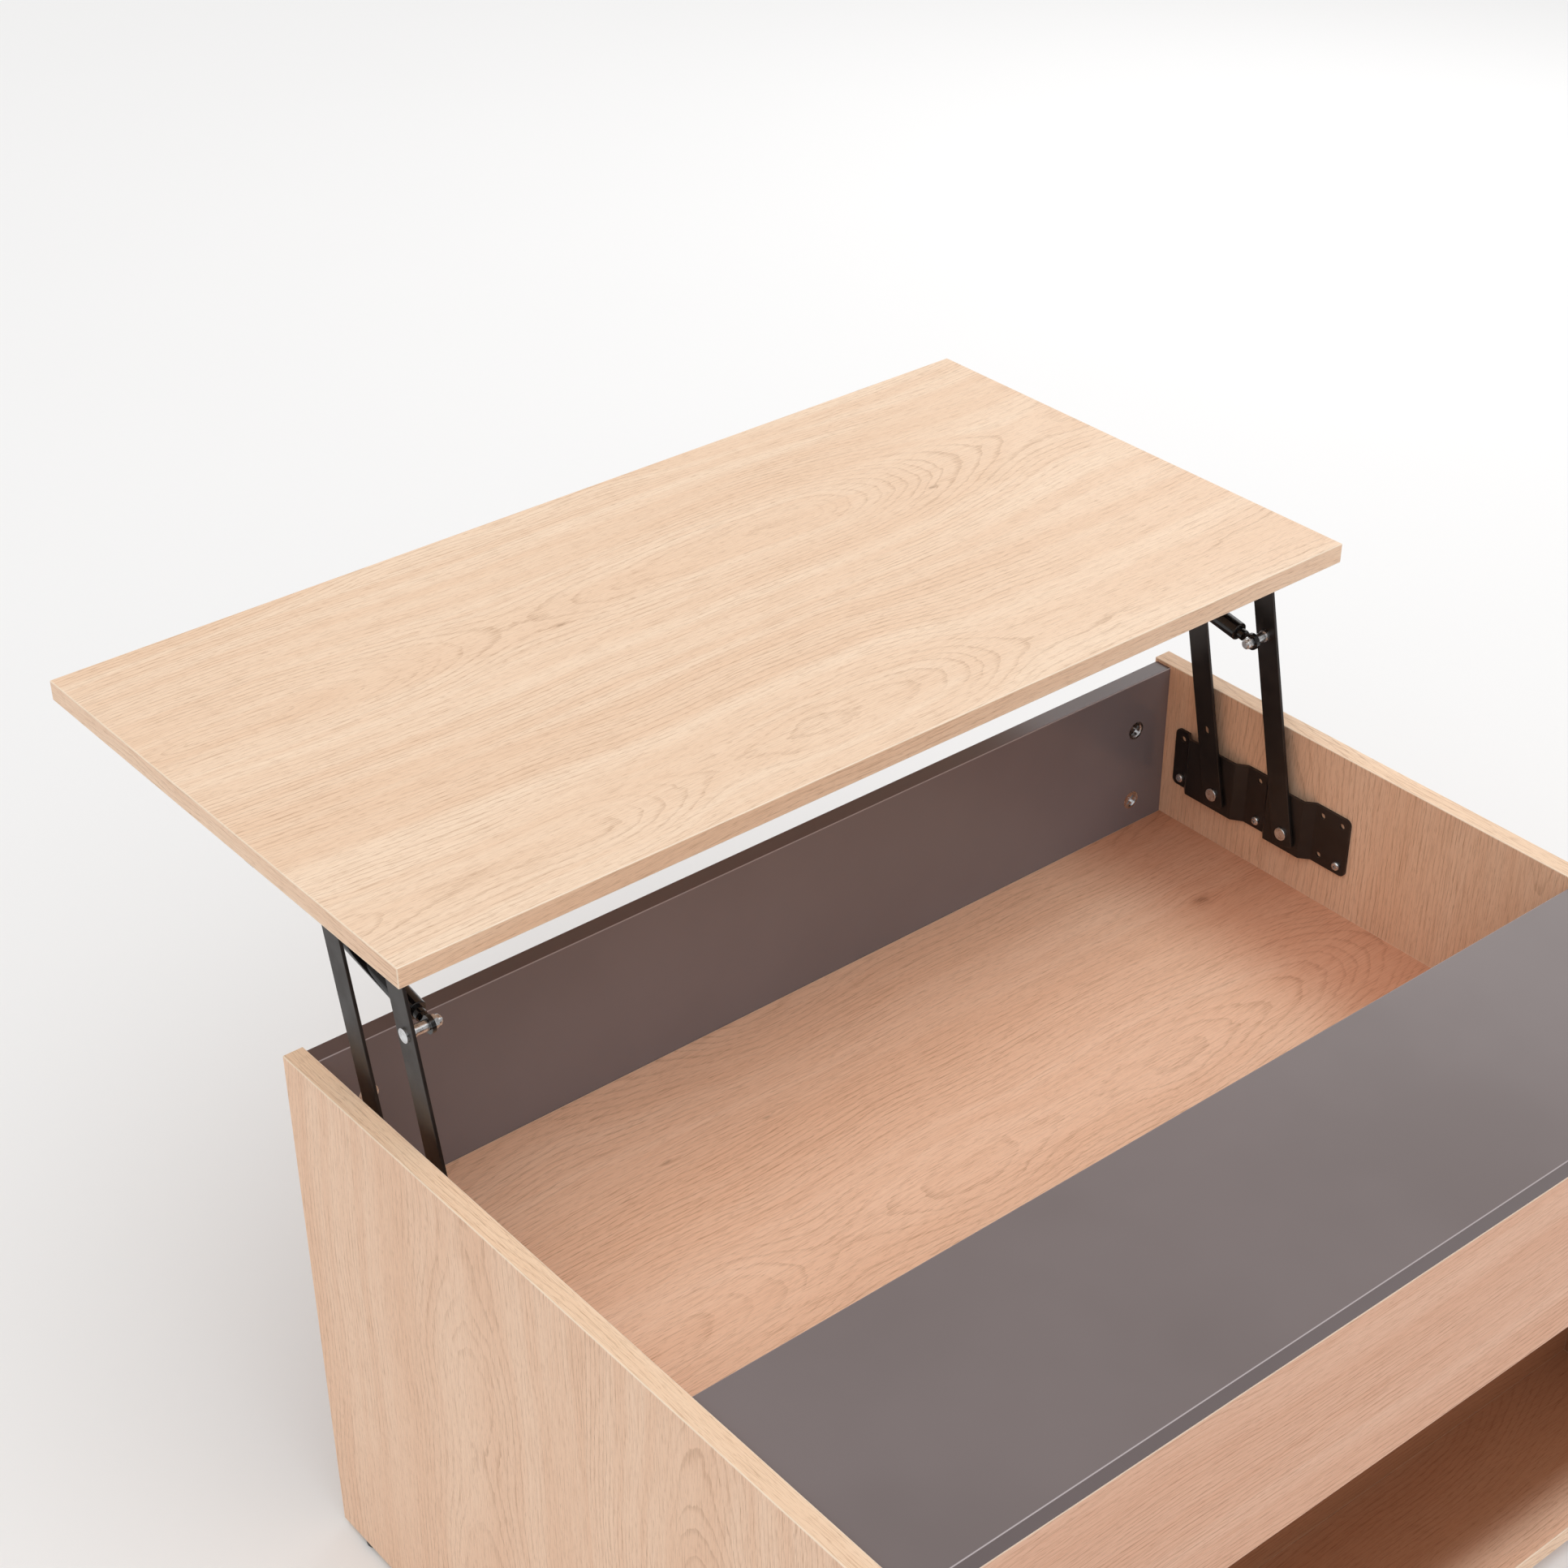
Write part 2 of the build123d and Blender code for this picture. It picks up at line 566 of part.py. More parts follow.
def lift_top_board():
    y_front = FRONT + TOP_REACH
    board = soft_block(
        -TABLE_LENGTH / 2, TABLE_LENGTH / 2, y_front - TOP_DEPTH, y_front, TOP_UNDERSIDE, TOP_UNDERSIDE + BOARD
    )
    radius, depth = SCREW_PILOT
    hole = Pos(0, 0, TOP_UNDERSIDE + (depth - SHEET - OVERCUT) / 2) * Cylinder(radius, depth - SHEET + OVERCUT)
    for side in SIDES.values():
        for x, y in bracket_screw_places(side):
            board -= Pos(x, y, 0) * hole
    return board


# Gas strut

def stud(side):
    """The strut's stud, riveted through the rear arm and threaded at its inner end."""
    pin = bar(side, STUD_RADIUS, ARM_DEPTH - STUD_HEAD[1], THREAD_END, STUD)
    return pin + bar(side, STUD_HEAD[0], ARM_DEPTH - STUD_HEAD[1], ARM_DEPTH, STUD)


def rod_bolt(side):
    """The far end's bolt, which stops just short of the bracket's tab."""
    return bar(side, STUD_RADIUS, FLANGE_INNER + TAB_CLEARANCE, THREAD_END, ROD_EYE)


def collar(side, start, place):
    """A spacer that is wider at its outer end, between a stud's root and the strut's eye."""
    flange_radius, flange_length = COLLAR_FLANGE
    spacer = bar(side, COLLAR_RADIUS, start, COLLAR_DEPTH + COLLAR_LENGTH, place)
    spacer += bar(side, flange_radius, start, start + flange_length, place)
    return spacer - bar(side, STUD_HOLE_RADIUS, start - OVERCUT, EYE_DEPTH + OVERCUT, place)


def strut_location(side, distance=0.0):
    """A place along the strut: its own +Y runs from the stud to the rod's far end."""
    x = at(side, STRUT_DEPTH)
    y = STUD[0] + distance * cos(SLOPE)
    z = STUD[1] + distance * sin(SLOPE)
    return Location((x, y, z), (STRUT_SLOPE, 0, 0))


def rod_along(radius, start, end):
    """A round bar along the strut's own Y."""
    return Pos(0, (start + end) / 2, 0) * Rot(90, 0, 0) * Cylinder(radius, end - start)


def end_eye():
    """A flattened eye with a round neck, threaded for the tube's or the rod's tip."""
    eye = Rot(0, 90, 0) * Cylinder(EYE_RADIUS, EYE_THICKNESS)
    eye += Pos(0, EYE_REACH / 2 - OVERCUT, 0) * Box(EYE_THICKNESS, EYE_REACH - 2 * OVERCUT, EYE_WIDTH)
    eye += rod_along(NECK_RADIUS, EYE_REACH - NECK_LENGTH, EYE_REACH)
    eye -= Rot(0, 90, 0) * Cylinder(STUD_PLAY_RADIUS, EYE_THICKNESS * 2)
    tip_hole = TIP_LENGTH + OVERCUT
    eye -= rod_along(TIP_RADIUS + TIP_CLEARANCE, EYE_REACH - tip_hole, EYE_REACH + OVERCUT)
    return eye


def strut_cylinder():
    """The strut's tube, closed at the stud's end and rolled in over the rod's guide."""
    tube = rod_along(TUBE_RADIUS, EYE_REACH, TUBE_END)
    tube = fillet(tube.edges().filter_by(GeomType.CIRCLE), TUBE_EDGE)
    tube -= rod_along(TUBE_BORE, EYE_REACH + TUBE_PLUG, TUBE_END - TUBE_MOUTH)
    tube -= rod_along(ROD_RADIUS + ROD_CLEARANCE, TUBE_END - 2 * TUBE_MOUTH, TUBE_END + OVERCUT)
    return tube + rod_along(TIP_RADIUS, EYE_REACH - TIP_LENGTH, EYE_REACH + OVERCUT)


def rod_guide():
    """The bush that seals and guides the rod, inside the tube's mouth."""
    end = TUBE_END - TUBE_MOUTH
    guide = rod_along(TUBE_BORE - TIP_CLEARANCE, end - GUIDE_LENGTH, end)
    return guide - rod_along(ROD_RADIUS + ROD_CLEARANCE, end - GUIDE_LENGTH - OVERCUT, end + OVERCUT)


def strut_rod():
    rod = rod_along(ROD_RADIUS, PISTON_START + PISTON_LENGTH, STRUT_LENGTH - EYE_REACH)
    rod += rod_along(TIP_RADIUS, PISTON_START, PISTON_START + PISTON_LENGTH)
    return rod + rod_along(TIP_RADIUS, STRUT_LENGTH - EYE_REACH, STRUT_LENGTH - EYE_REACH + TIP_LENGTH)


def strut_piston():
    end = PISTON_START + PISTON_LENGTH
    piston = rod_along(TUBE_BORE - PISTON_CLEARANCE, PISTON_START, end)
    return piston - rod_along(TIP_RADIUS + TIP_CLEARANCE, PISTON_START - OVERCUT, end + OVERCUT)


# Nodes

def write_carcass():
    for name, board in BOARDS.items():
        write(name, inner_board(board))
    lock = cam_lock()
    locks, bolts, dowels = [], [], []
    for side in SIDES.values():
        for board in BOARDS.values():
            locks += [cam_location(side, board, place) * lock for place in board.cams]
            bolts += [cam_bolt(side, place) for place in board.cams]
            dowels += [dowel(side, place) for place in board.dowels]
    write("cam_locks", locks)
    write("cam_bolts", bolts)
    write("wood_dowels", dowels)
    places = [place for side in SIDES.values() for place in glide_places(side)]
    write("floor_glides", [floor_glide(place) for place in places])
    write("glide_nails", [glide_nail(place) for place in places])
    for name, side in SIDES.items():
        write(f"{name}_side_panel", side_panel(side))
        write(f"{name}_base_plate", base_plate(side))
    screw = pan_screw()
    write("base_plate_screws", [
        facing((at(side, SHEET), *place), (-side, 0, 0), (0, 1, 0)) * screw
        for side in SIDES.values() for place in plate_places(PLATE_SCREWS)
    ])
    pivots = [(side, place) for side in SIDES.values() for place in (REAR_PIVOT, FRONT_PIVOT)]
    write("base_pivot_rivets", [rivet(*pivot, ARM_INNER + PLAY, PLATE_RAISE) for pivot in pivots])
    write("base_pivot_washers", [
        ring(side, WASHER_RADIUS, PIVOT_HOLE_RADIUS, WASHER_DEPTH, WASHER_DEPTH + WASHER, place)
        for side, place in pivots
    ])


def write_linkage():
    for name, side in SIDES.items():
        write(f"{name}_rear_arm", rear_arm(side))
        write(f"{name}_front_arm", front_arm(side))
        write(f"{name}_top_bracket", top_bracket(side))
    pivots = [(side, place) for side in SIDES.values() for place in (REAR_TOP_PIVOT, FRONT_TOP_PIVOT)]
    write("top_pivot_rivets", [rivet(*pivot, FLANGE_INNER, ARM_DEPTH - PLAY) for pivot in pivots])
    write("top_pivot_washers", [
        ring(side, WASHER_RADIUS, PIVOT_HOLE_RADIUS, TOP_WASHER_DEPTH, FLANGE_DEPTH, place)
        for side, place in pivots
    ])
    screw = pan_screw()
    write("bracket_screws", [
        facing((x, y, TOP_UNDERSIDE - SHEET), (0, 0, -1), (1, 0, 0)) * screw
        for side in SIDES.values() for x, y in bracket_screw_places(side)
    ])
    write("lift_top_board", lift_top_board())


def write_struts():
    sides = SIDES.values()
    for name, side in SIDES.items():
        write(f"{name}_strut_cylinder", strut_location(side) * strut_cylinder())
        write(f"{name}_strut_rod", strut_location(side) * strut_rod())
    write("strut_rod_guides", [strut_location(side) * rod_guide() for side in sides])
    write("strut_pistons", [strut_location(side) * strut_piston() for side in sides])
    write("cylinder_end_eyes", [strut_location(side) * end_eye() for side in sides])
    turned_eye = Rot(180, 0, 0) * end_eye()
    write("rod_end_eyes", [strut_location(side, STRUT_LENGTH) * turned_eye for side in sides])
    write("strut_studs", [stud(side) for side in sides])
    write("strut_stud_collars", [collar(side, COLLAR_DEPTH, STUD) for side in sides])
    write("strut_stud_nuts", [lock_nut(side, STUD) for side in sides])
    write("rod_eye_bolts", [rod_bolt(side) for side in sides])
    write("rod_eye_collars", [collar(side, FLANGE_INNER + TAB_CLEARANCE, ROD_EYE) for side in sides])
    write("rod_eye_nuts", [lock_nut(side, ROD_EYE) for side in sides])


write_carcass()
write_linkage()
write_struts()
closed_length, closed_slope = lowered_strut()
print("lift angle", round(degrees(LIFT_ANGLE), 3))
print("rear pivot", REAR_PIVOT, "front pivot", FRONT_PIVOT)
print("rear top pivot", REAR_TOP_PIVOT, "front top pivot", FRONT_TOP_PIVOT)
print("stud", STUD, "rod eye", ROD_EYE)
print("strut length and slope, raised", STRUT_LENGTH, STRUT_SLOPE, "lowered", closed_length, closed_slope)
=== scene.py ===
import json
from collections import namedtuple
from math import cos, radians, sin

import bpy
from mathutils import Matrix, Vector


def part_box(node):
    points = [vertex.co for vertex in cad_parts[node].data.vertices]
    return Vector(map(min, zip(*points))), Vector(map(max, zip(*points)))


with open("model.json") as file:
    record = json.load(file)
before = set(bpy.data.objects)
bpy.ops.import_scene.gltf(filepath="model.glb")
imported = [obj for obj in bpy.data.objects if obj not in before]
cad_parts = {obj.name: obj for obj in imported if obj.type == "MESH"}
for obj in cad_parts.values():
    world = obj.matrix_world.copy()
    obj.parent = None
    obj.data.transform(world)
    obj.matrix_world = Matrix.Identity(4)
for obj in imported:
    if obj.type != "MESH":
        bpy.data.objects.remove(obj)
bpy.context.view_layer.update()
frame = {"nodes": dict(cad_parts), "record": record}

MM = 0.001
WHITE = (1.0, 1.0, 1.0, 1)

# Camera
CAMERA_PLACE = Vector((-1.042, -1.132, 1.522))
CAMERA_AZIMUTH = radians(38.93)  # from +Y towards +X
CAMERA_ELEVATION = radians(34.59)  # how far it looks down
CAMERA_ROLL = radians(-0.53)
CAMERA_LENS = 64.59
CAMERA_SENSOR = 36.0
CAMERA_SHIFT = (0.0075, 0.0652)
CAMERA_CLIP = 0.01

# Studio
FLOOR_SIZE = 60.0
FLOOR_COLOUR = (0.88, 0.88, 0.88, 1)
FLOOR_PALER = (0.8888, 0.8888, 0.8888, 1)
FLOOR_CLOUD_SCALE = 3.0
FLOOR_ROUGHNESS = 0.9
FLOOR_SPECULAR = 0.1
WORLD_COLOUR = (1.0, 0.955, 0.925, 1)
WORLD_STRENGTH = 0.43
SUN_STRENGTH = 1.84
SUN_SPREAD = radians(90)
SUN_FROM = Vector((-0.18, -0.34, 1.0))
SUN_COLOUR = (1.0, 1.025, 1.04)
GLEAM_PLACE = Vector((2.6, 1.5, 1.7))
GLEAM_AIM = Vector((0.0, 0.0, 0.4))
GLEAM_SIZE = 1.6
GLEAM_ENERGY = 12.0

# Noises that follow the grain: scale along it and across it, detail, roughness
DRIFT = (1.4, 3.0, 1.0, 0.5)
WANDER = (6.0, 22.0, 2.0, 0.5)
COARSE_WOBBLE = (16.0, 40.0, 2.0, 0.5)
FINE_WOBBLE = (70.0, 190.0, 2.0, 0.6)
RING_PATCHES = (5.0, 18.0, 2.0, 0.5)
FIBRES = (9.0, 600.0, 3.0, 0.65)
THREADS = (26.0, 1900.0, 2.0, 0.6)
LONG_PORES = (34.0, 1900.0, 1.0, 0.5)
SHORT_PORES = (120.0, 2900.0, 1.0, 0.5)
WARM_CLOUDS = (1.2, 16.0, 2.0, 0.5)
TORN_FIBRES = (160.0, 420.0, 3.0, 0.6)
BEECH_FIBRES = (60.0, 900.0, 2.0, 0.5)
NOISE_MIDDLE = 0.5
NOISE_SPAN = (0.3, 0.7)  # most of a noise's values lie in here

# Oak decor: sizes on the board
DRIFT_WIDTH = 0.050
WANDER_WIDTH = 0.0050
COARSE_WOBBLE_WIDTH = 0.0040
FINE_WOBBLE_WIDTH = 0.0016
PLANK_HALF = 0.117
PITH_SWING = 0.170  # how much a cut's distance from the pith varies
PITH_START = -0.040
PITH_SLOPE = 0.045
PITH_SCALES = (2.6, 5.7)  # along a plank, and from one plank to the next
PITH_DETAIL = (1.5, 0.45)
LEAST_RADIUS = 0.001
RING_WIDTH = 0.0037
RING_UNEVENNESS = 2.4  # in ring widths
RING_UNEVEN_SCALE = 60.0
BAND_SCALES = (75.0, 1.2)  # across the rings and along the grain
BANDING_SHIFT = 0.052  # where on a plank the banding's grain is taken from
ARRIS_WEAR_AND_HIGHLIGHT = 1.1 * MM

# Oak decor: where its marks begin and end, and how strong they are
RING_DARKENS = (0.62, 0.94)
RING_ENDS = (1.0, 0.95)
SLANTED_CUT = (0.70, 0.99)
PATCHY_RINGS = (0.36, 0.60, 0.25, 1.0)
FIGURE_STRENGTH = 0.8
FACE_STRIPES = 1.0
BANDING_STRIPES = 0.8
LONG_PORE_RANGE = (0.54, 0.70)
SHORT_PORE_RANGE = (0.58, 0.70)
LONG_PORES_ON_RINGS = 0.14
SHORT_PORES_ON_RINGS = 0.12
BAND_RANGE = (0.34, 0.66)
CLOUD_RANGE = (0.40, 0.62, 0.0, 0.50)
FIBRE_TONE = 0.30
THREAD_TONE = 0.46
BAND_TONE = 0.42
RING_SHARE = 0.11
LONG_PORE_SHARE = 0.30
SHORT_PORE_SHARE = 0.40
OAK_ROUGHNESS = 0.38
FIBRE_ROUGHNESS = 0.14
PORE_ROUGHNESS = 0.10
THREAD_HEIGHT = 0.35
OAK_BUMP = (0.05 * MM, 0.6)  # depth and strength, as for every bump
OAK_SPECULAR = 0.35
ARRIS_SHARE = 0.8
FACING_SHARE = 0.7  # a normal with more than this along an axis looks along it

# Oak decor: linear colours
OAK_LIGHT = (1.0, 0.80, 0.612, 1)
OAK_MIDDLE = (0.90, 0.645, 0.457, 1)
OAK_WARM = (0.88, 0.61, 0.42, 1)
OAK_DARK = (0.50, 0.31, 0.185, 1)
OAK_PORE = (0.42, 0.235, 0.125, 1)
# The paler arris colour: wear and a painted highlight
OAK_WEAR_AND_HIGHLIGHT = (1.0, 0.88, 0.72, 1)
KNOT_HEART = (0.22, 0.12, 0.065, 1)
# Painted shade on the banding: darker and warmer on most boards' edges, left almost untinted on the upright
# boards' edges
BANDING_PAINTED_SHADE = (1.0, 0.945, 0.91, 1)
UPRIGHT_BANDING_UNSHADED = (1.0, 1.0, 0.98, 1)
# Painted shade: the upright boards, the fascia and the inner boards are darker and warmer than the top
UPRIGHT_PAINTED_SHADE = (0.985, 0.90, 0.865, 1)
FASCIA_PAINTED_SHADE = (0.84, 0.665, 0.62, 1)
DEEP_PAINTED_SHADE = (1.0, 0.875, 0.845, 1)

# Knots: middle along and across the grain, then how far from it they fade that way
Knot = namedtuple("Knot", "along across length width")
TOP_KNOTS = (Knot(-0.097, 0.265, 0.008, 0.0024), Knot(0.237, 0.257, 0.008, 0.0024))
FLOOR_KNOTS = (
    Knot(0.318, 0.031, 0.011, 0.0065),
    Knot(-0.101, 0.041, 0.006, 0.002),
    Knot(-0.183, 0.047, 0.007, 0.002),
)
KNOT_REACH = 2.2
KNOT_PUSH = -0.62
KNOT_TEARS = (1.4, 0.3)
KNOT_RIM = (0.06, 0.9, 0.0, 0.30)
KNOT_MIDDLE = (0.62, 1.0, 0.0, 0.35)

# Painted shade: the niche under the fascia, darker towards its back, and the compartment floor's right end
NICHE_SHADE = (0.36, 0.24, 0.17, 1)
NICHE_MOUTH = (-0.422, -0.375)
NICHE_BACK = -0.30
NICHE_TOP = 0.277
NICHE_HALF = 0.386
NICHE_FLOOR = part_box("bottom_panel")[1][2] - 0.5 * MM
SHADED_END = (0.235, 0.335)
SHADED_END_TINT = (0.68, 0.52, 0.46, 1)

# Grey laminate: noises are scale, detail and roughness
GREY_DARK = (0.176, 0.143, 0.140, 1)
GREY_LIGHT = (0.200, 0.164, 0.162, 1)
# The pale arris colour: wear and a painted highlight
GREY_WEAR_AND_HIGHLIGHT = (0.62, 0.55, 0.56, 1)
# Painted shade on the grey banding, and painted light on the front panel
GREY_BANDING_PAINTED_SHADE = (0.54, 0.44, 0.45, 1)
FRONT_PAINTED_LIGHT = (1.10, 1.17, 1.26, 1)
GREY_ARRIS = 0.9 * MM
GREY_CLOUD = (5.0, 3, 0.5)
GREY_HAZE = (34.0, 1, 0.4)
GREY_SMEAR = (9.0, 1, 0.4)
GREY_CLOUD_RANGE = (0.35, 0.65)
GREY_CLOUD_SHARE = 0.75
GREY_HAZE_SHARE = 0.25
GREY_ROUGHNESS = (0.21, 0.25)
GREY_SPECULAR = 0.5

# Powder coat and lacquer
POWDER_DARK = (0.0085, 0.0072, 0.007, 1)
POWDER_LIGHT = (0.016, 0.0135, 0.0125, 1)
# The brown edge colour: wear and a painted highlight
POWDER_WEAR_AND_HIGHLIGHT = (0.085, 0.060, 0.050, 1)
POWDER_SHEEN = (1.0, 0.90, 0.85, 1)
POWDER_FINE = (1400.0, 2)
POWDER_COARSE = (55.0, 4, 0.6)
POWDER_WEAR_AND_HIGHLIGHT_PATCHES = (0.35, 0.62, 0.25, 1.0)
POWDER_ARRIS = 0.7 * MM
POWDER_WEAR_AND_HIGHLIGHT_SHARE = 0.6
POWDER_ROUGHNESS = (0.30, 0.44)
POWDER_SPECULAR = 0.42
POWDER_BUMP = (0.03 * MM, 0.5)
LACQUER_BLACK = (0.007, 0.006, 0.006, 1)
LACQUER_DUST = (0.05, 0.045, 0.04, 1)
DUST_SPECKS = (700.0, 3, 0.7)
DUST_RANGE = (0.62, 0.72)
LACQUER_FILM = (60.0, 3)
LACQUER_ROUGHNESS = (0.08, 0.20)
LACQUER_BUMP = (0.05 * MM, 0.25)

# Metals, plastics and beech: each pair of colours is the dark and the light one
ZINC = ((0.50, 0.51, 0.52, 1), (0.78, 0.80, 0.82, 1))
CHROME = ((0.66, 0.66, 0.67, 1), (0.80, 0.80, 0.81, 1))
METAL_EDGE = (0.92, 0.90, 0.87, 1)
METAL_EDGE_WIDTH = 0.35 * MM
METAL_EDGE_SHARE = 0.4
METAL_MOTTLE = (4, 0.65)
METAL_SCRATCHES = (2, 0.6)
SCRATCH_STRETCH = (1.0, 0.08, 1.0)
SCRATCH_BUMP = (0.02 * MM, 0.5)
NYLON = ((0.62, 0.61, 0.58, 1), (0.72, 0.71, 0.68, 1))
GLIDE_BLACK = ((0.03, 0.03, 0.03, 1), (0.05, 0.05, 0.05, 1))
PLASTIC_GRAIN = (1500.0, 2)
PLASTIC_CLOUD = (90.0, 3)
PLASTIC_ROUGHNESS_SWING = 0.08
PLASTIC_BUMP = (0.04 * MM, 0.5)
BEECH_LIGHT = (0.74, 0.55, 0.36, 1)
BEECH_DARK = (0.55, 0.36, 0.20, 1)
BEECH_SEED = 3.0
BEECH_ROUGHNESS = (0.5, 0.7)
BEECH_BUMP = (0.05 * MM, 0.5)
EDGE_TURN = (0.995, 0.90)
EDGE_SAMPLES = 4

# Node graphs

MIX_FACTOR, MIX_FIRST, MIX_SECOND, MIX_RESULT = 0, 6, 7, 2  # the sockets of a Mix node for colours


def give(tree, socket, value):
    """A socket linked to another one, or set to a value."""
    if isinstance(value, bpy.types.NodeSocket):
        tree.links.new(value, socket)
    else:
        socket.default_value = value


def give_all(tree, node, inputs):
    """A node's inputs, by name or number, given as values or as sockets to link."""
    for key, value in inputs.items():
        give(tree, node.inputs[key], value)


def add(tree, kind, inputs, **settings):
    """A new node with its settings and its inputs."""
    node = tree.nodes.new(kind)
    for name, value in settings.items():
        setattr(node, name, value)
    give_all(tree, node, inputs)
    return node


def calc(tree, operation, *values):
    """The result of a Math node."""
    return add(tree, "ShaderNodeMath", dict(enumerate(values)), operation=operation).outputs[0]


def remap(tree, value, low, high, new_low=0.0, new_high=1.0, kind="SMOOTHSTEP"):
    """Value taken from one range to another and held at its ends."""
    inputs = {"Value": value, "From Min": low, "From Max": high, "To Min": new_low, "To Max": new_high}
    return add(tree, "ShaderNodeMapRange", inputs, interpolation_type=kind).outputs["Result"]


def choose(tree, share, first, second):
    """A float that is first where share is 0 and second where it is 1."""
    inputs = {"Factor": share, "A": first, "B": second}
    return add(tree, "ShaderNodeMix", inputs, data_type="FLOAT").outputs[0]


def blend_colours(tree, share, first, second, mode="MIX"):
    """The first colour, with a share of the second mixed into it or multiplied onto it."""
    inputs = {MIX_FACTOR: share, MIX_FIRST: first, MIX_SECOND: second}
    return add(tree, "ShaderNodeMix", inputs, data_type="RGBA", blend_type=mode).outputs[MIX_RESULT]


def noise(tree, vector, scale=1.0, detail=2.0, roughness=0.5):
    """A noise texture's value at a place."""
    inputs = {"Vector": vector, "Scale": scale, "Detail": detail, "Roughness": roughness}
    return add(tree, "ShaderNodeTexNoise", inputs).outputs["Fac"]


def point(tree, x, y, z):
    """A place from its three parts."""
    return add(tree, "ShaderNodeCombineXYZ", {"X": x, "Y": y, "Z": z}).outputs[0]


def grain_noise(tree, along, across, seed, scales):
    """Noise drawn out along the grain, of one of the kinds listed at the top."""
    along_scale, across_scale, detail, roughness = scales
    along = calc(tree, "MULTIPLY", along, along_scale)
    across = calc(tree, "MULTIPLY", across, across_scale)
    return noise(tree, point(tree, along, across, seed), 1.0, detail, roughness)


def bump(tree, height, distance, strength):
    """A normal that follows a height."""
    inputs = {"Height": height, "Distance": distance, "Strength": strength}
    return add(tree, "ShaderNodeBump", inputs).outputs[0]


def new_material(name):
    """A material with its tree and its shader, ready for inputs."""
    material = bpy.data.materials.new(name)
    material.use_nodes = True
    tree = material.node_tree
    tree.nodes.clear()
    shader = tree.nodes.new("ShaderNodeBsdfPrincipled")
    output = tree.nodes.new("ShaderNodeOutputMaterial")
    tree.links.new(shader.outputs[0], output.inputs[0])
    return material, tree, shader


def place_in_object(tree):
    """The place and the normal in the object's own coordinates."""
    coordinates = tree.nodes.new("ShaderNodeTexCoord")
    return coordinates.outputs["Object"], coordinates.outputs["Normal"]


def axes_of(tree, vector):
    """The vector's three parts, by axis name."""
    parts = add(tree, "ShaderNodeSeparateXYZ", {0: vector}).outputs
    return {"X": parts[0], "Y": parts[1], "Z": parts[2]}


def looks_along(tree, normal, axis):
    """1 where a surface looks along an axis, either way, and 0 elsewhere."""
    parts = add(tree, "ShaderNodeVectorMath", {0: normal}, operation="ABSOLUTE").outputs[0]
    return calc(tree, "GREATER_THAN", axes_of(tree, parts)[axis], FACING_SHARE)


# Boards

def arris_share(tree, place, node, reach):
    """1 on a board's own edges, fading to 0 within reach of them."""
    low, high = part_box(node)
    distances = []
    for index, axis in enumerate("XYZ"):
        middle = (low[index] + high[index]) / 2
        half = (high[index] - low[index]) / 2
        offset = calc(tree, "ABSOLUTE", calc(tree, "SUBTRACT", place[axis], middle))
        distances.append(calc(tree, "SUBTRACT", half, offset))
    smaller = calc(tree, "MINIMUM", distances[0], distances[1])
    larger = calc(tree, "MAXIMUM", distances[0], distances[1])
    second = calc(tree, "MINIMUM", larger, calc(tree, "MAXIMUM", smaller, distances[2]))
    return remap(tree, second, 0.0, reach, 1.0, 0.0)


def oak_decor():
    """The oak decor as a node group: a place on the board in, and colour, roughness and height out."""
    tree = bpy.data.node_groups.new("oak_decor", "ShaderNodeTree")
    for name in ("Along", "Across", "Seed", "Figure", "Swirl", "Stripes"):
        tree.interface.new_socket(name, in_out="INPUT", socket_type="NodeSocketFloat")
    for name, kind in (("Colour", "Color"), ("Roughness", "Float"), ("Height", "Float")):
        tree.interface.new_socket(name, in_out="OUTPUT", socket_type=f"NodeSocket{kind}")
    given = tree.nodes.new("NodeGroupInput").outputs
    place = {name: given[name] for name in ("Along", "Across", "Seed")}

    bent = bent_grain(tree, place, given["Swirl"])
    plank, from_middle, radius = ring_radius(tree, place, bent, given["Figure"])
    line = ring_lines(tree, place, bent, plank, from_middle, radius, given["Stripes"])
    looks = oak_surface(tree, place, bent, radius, line)
    result = tree.nodes.new("NodeGroupOutput")
    for socket, value in zip(result.inputs, looks):
        tree.links.new(value, socket)
    return tree


def spread(tree, place, over, scales):
    """Grain noise in the decor, over the bent or the straight place across the grain."""
    return grain_noise(tree, place["Along"], over, place["Seed"], scales)


def swing(tree, value, width, onto):
    """A noise spread over a width and added to a place."""
    return calc(tree, "MULTIPLY_ADD", calc(tree, "SUBTRACT", value, NOISE_MIDDLE), width, onto)


def bent_grain(tree, place, swirl):
    """The place across the grain, where the grain drifts from side to side and turns round knots."""
    across = place["Across"]
    bent = swing(tree, spread(tree, place, across, DRIFT), DRIFT_WIDTH, across)
    bent = swing(tree, spread(tree, place, across, WANDER), WANDER_WIDTH, bent)
    return calc(tree, "ADD", bent, swirl)


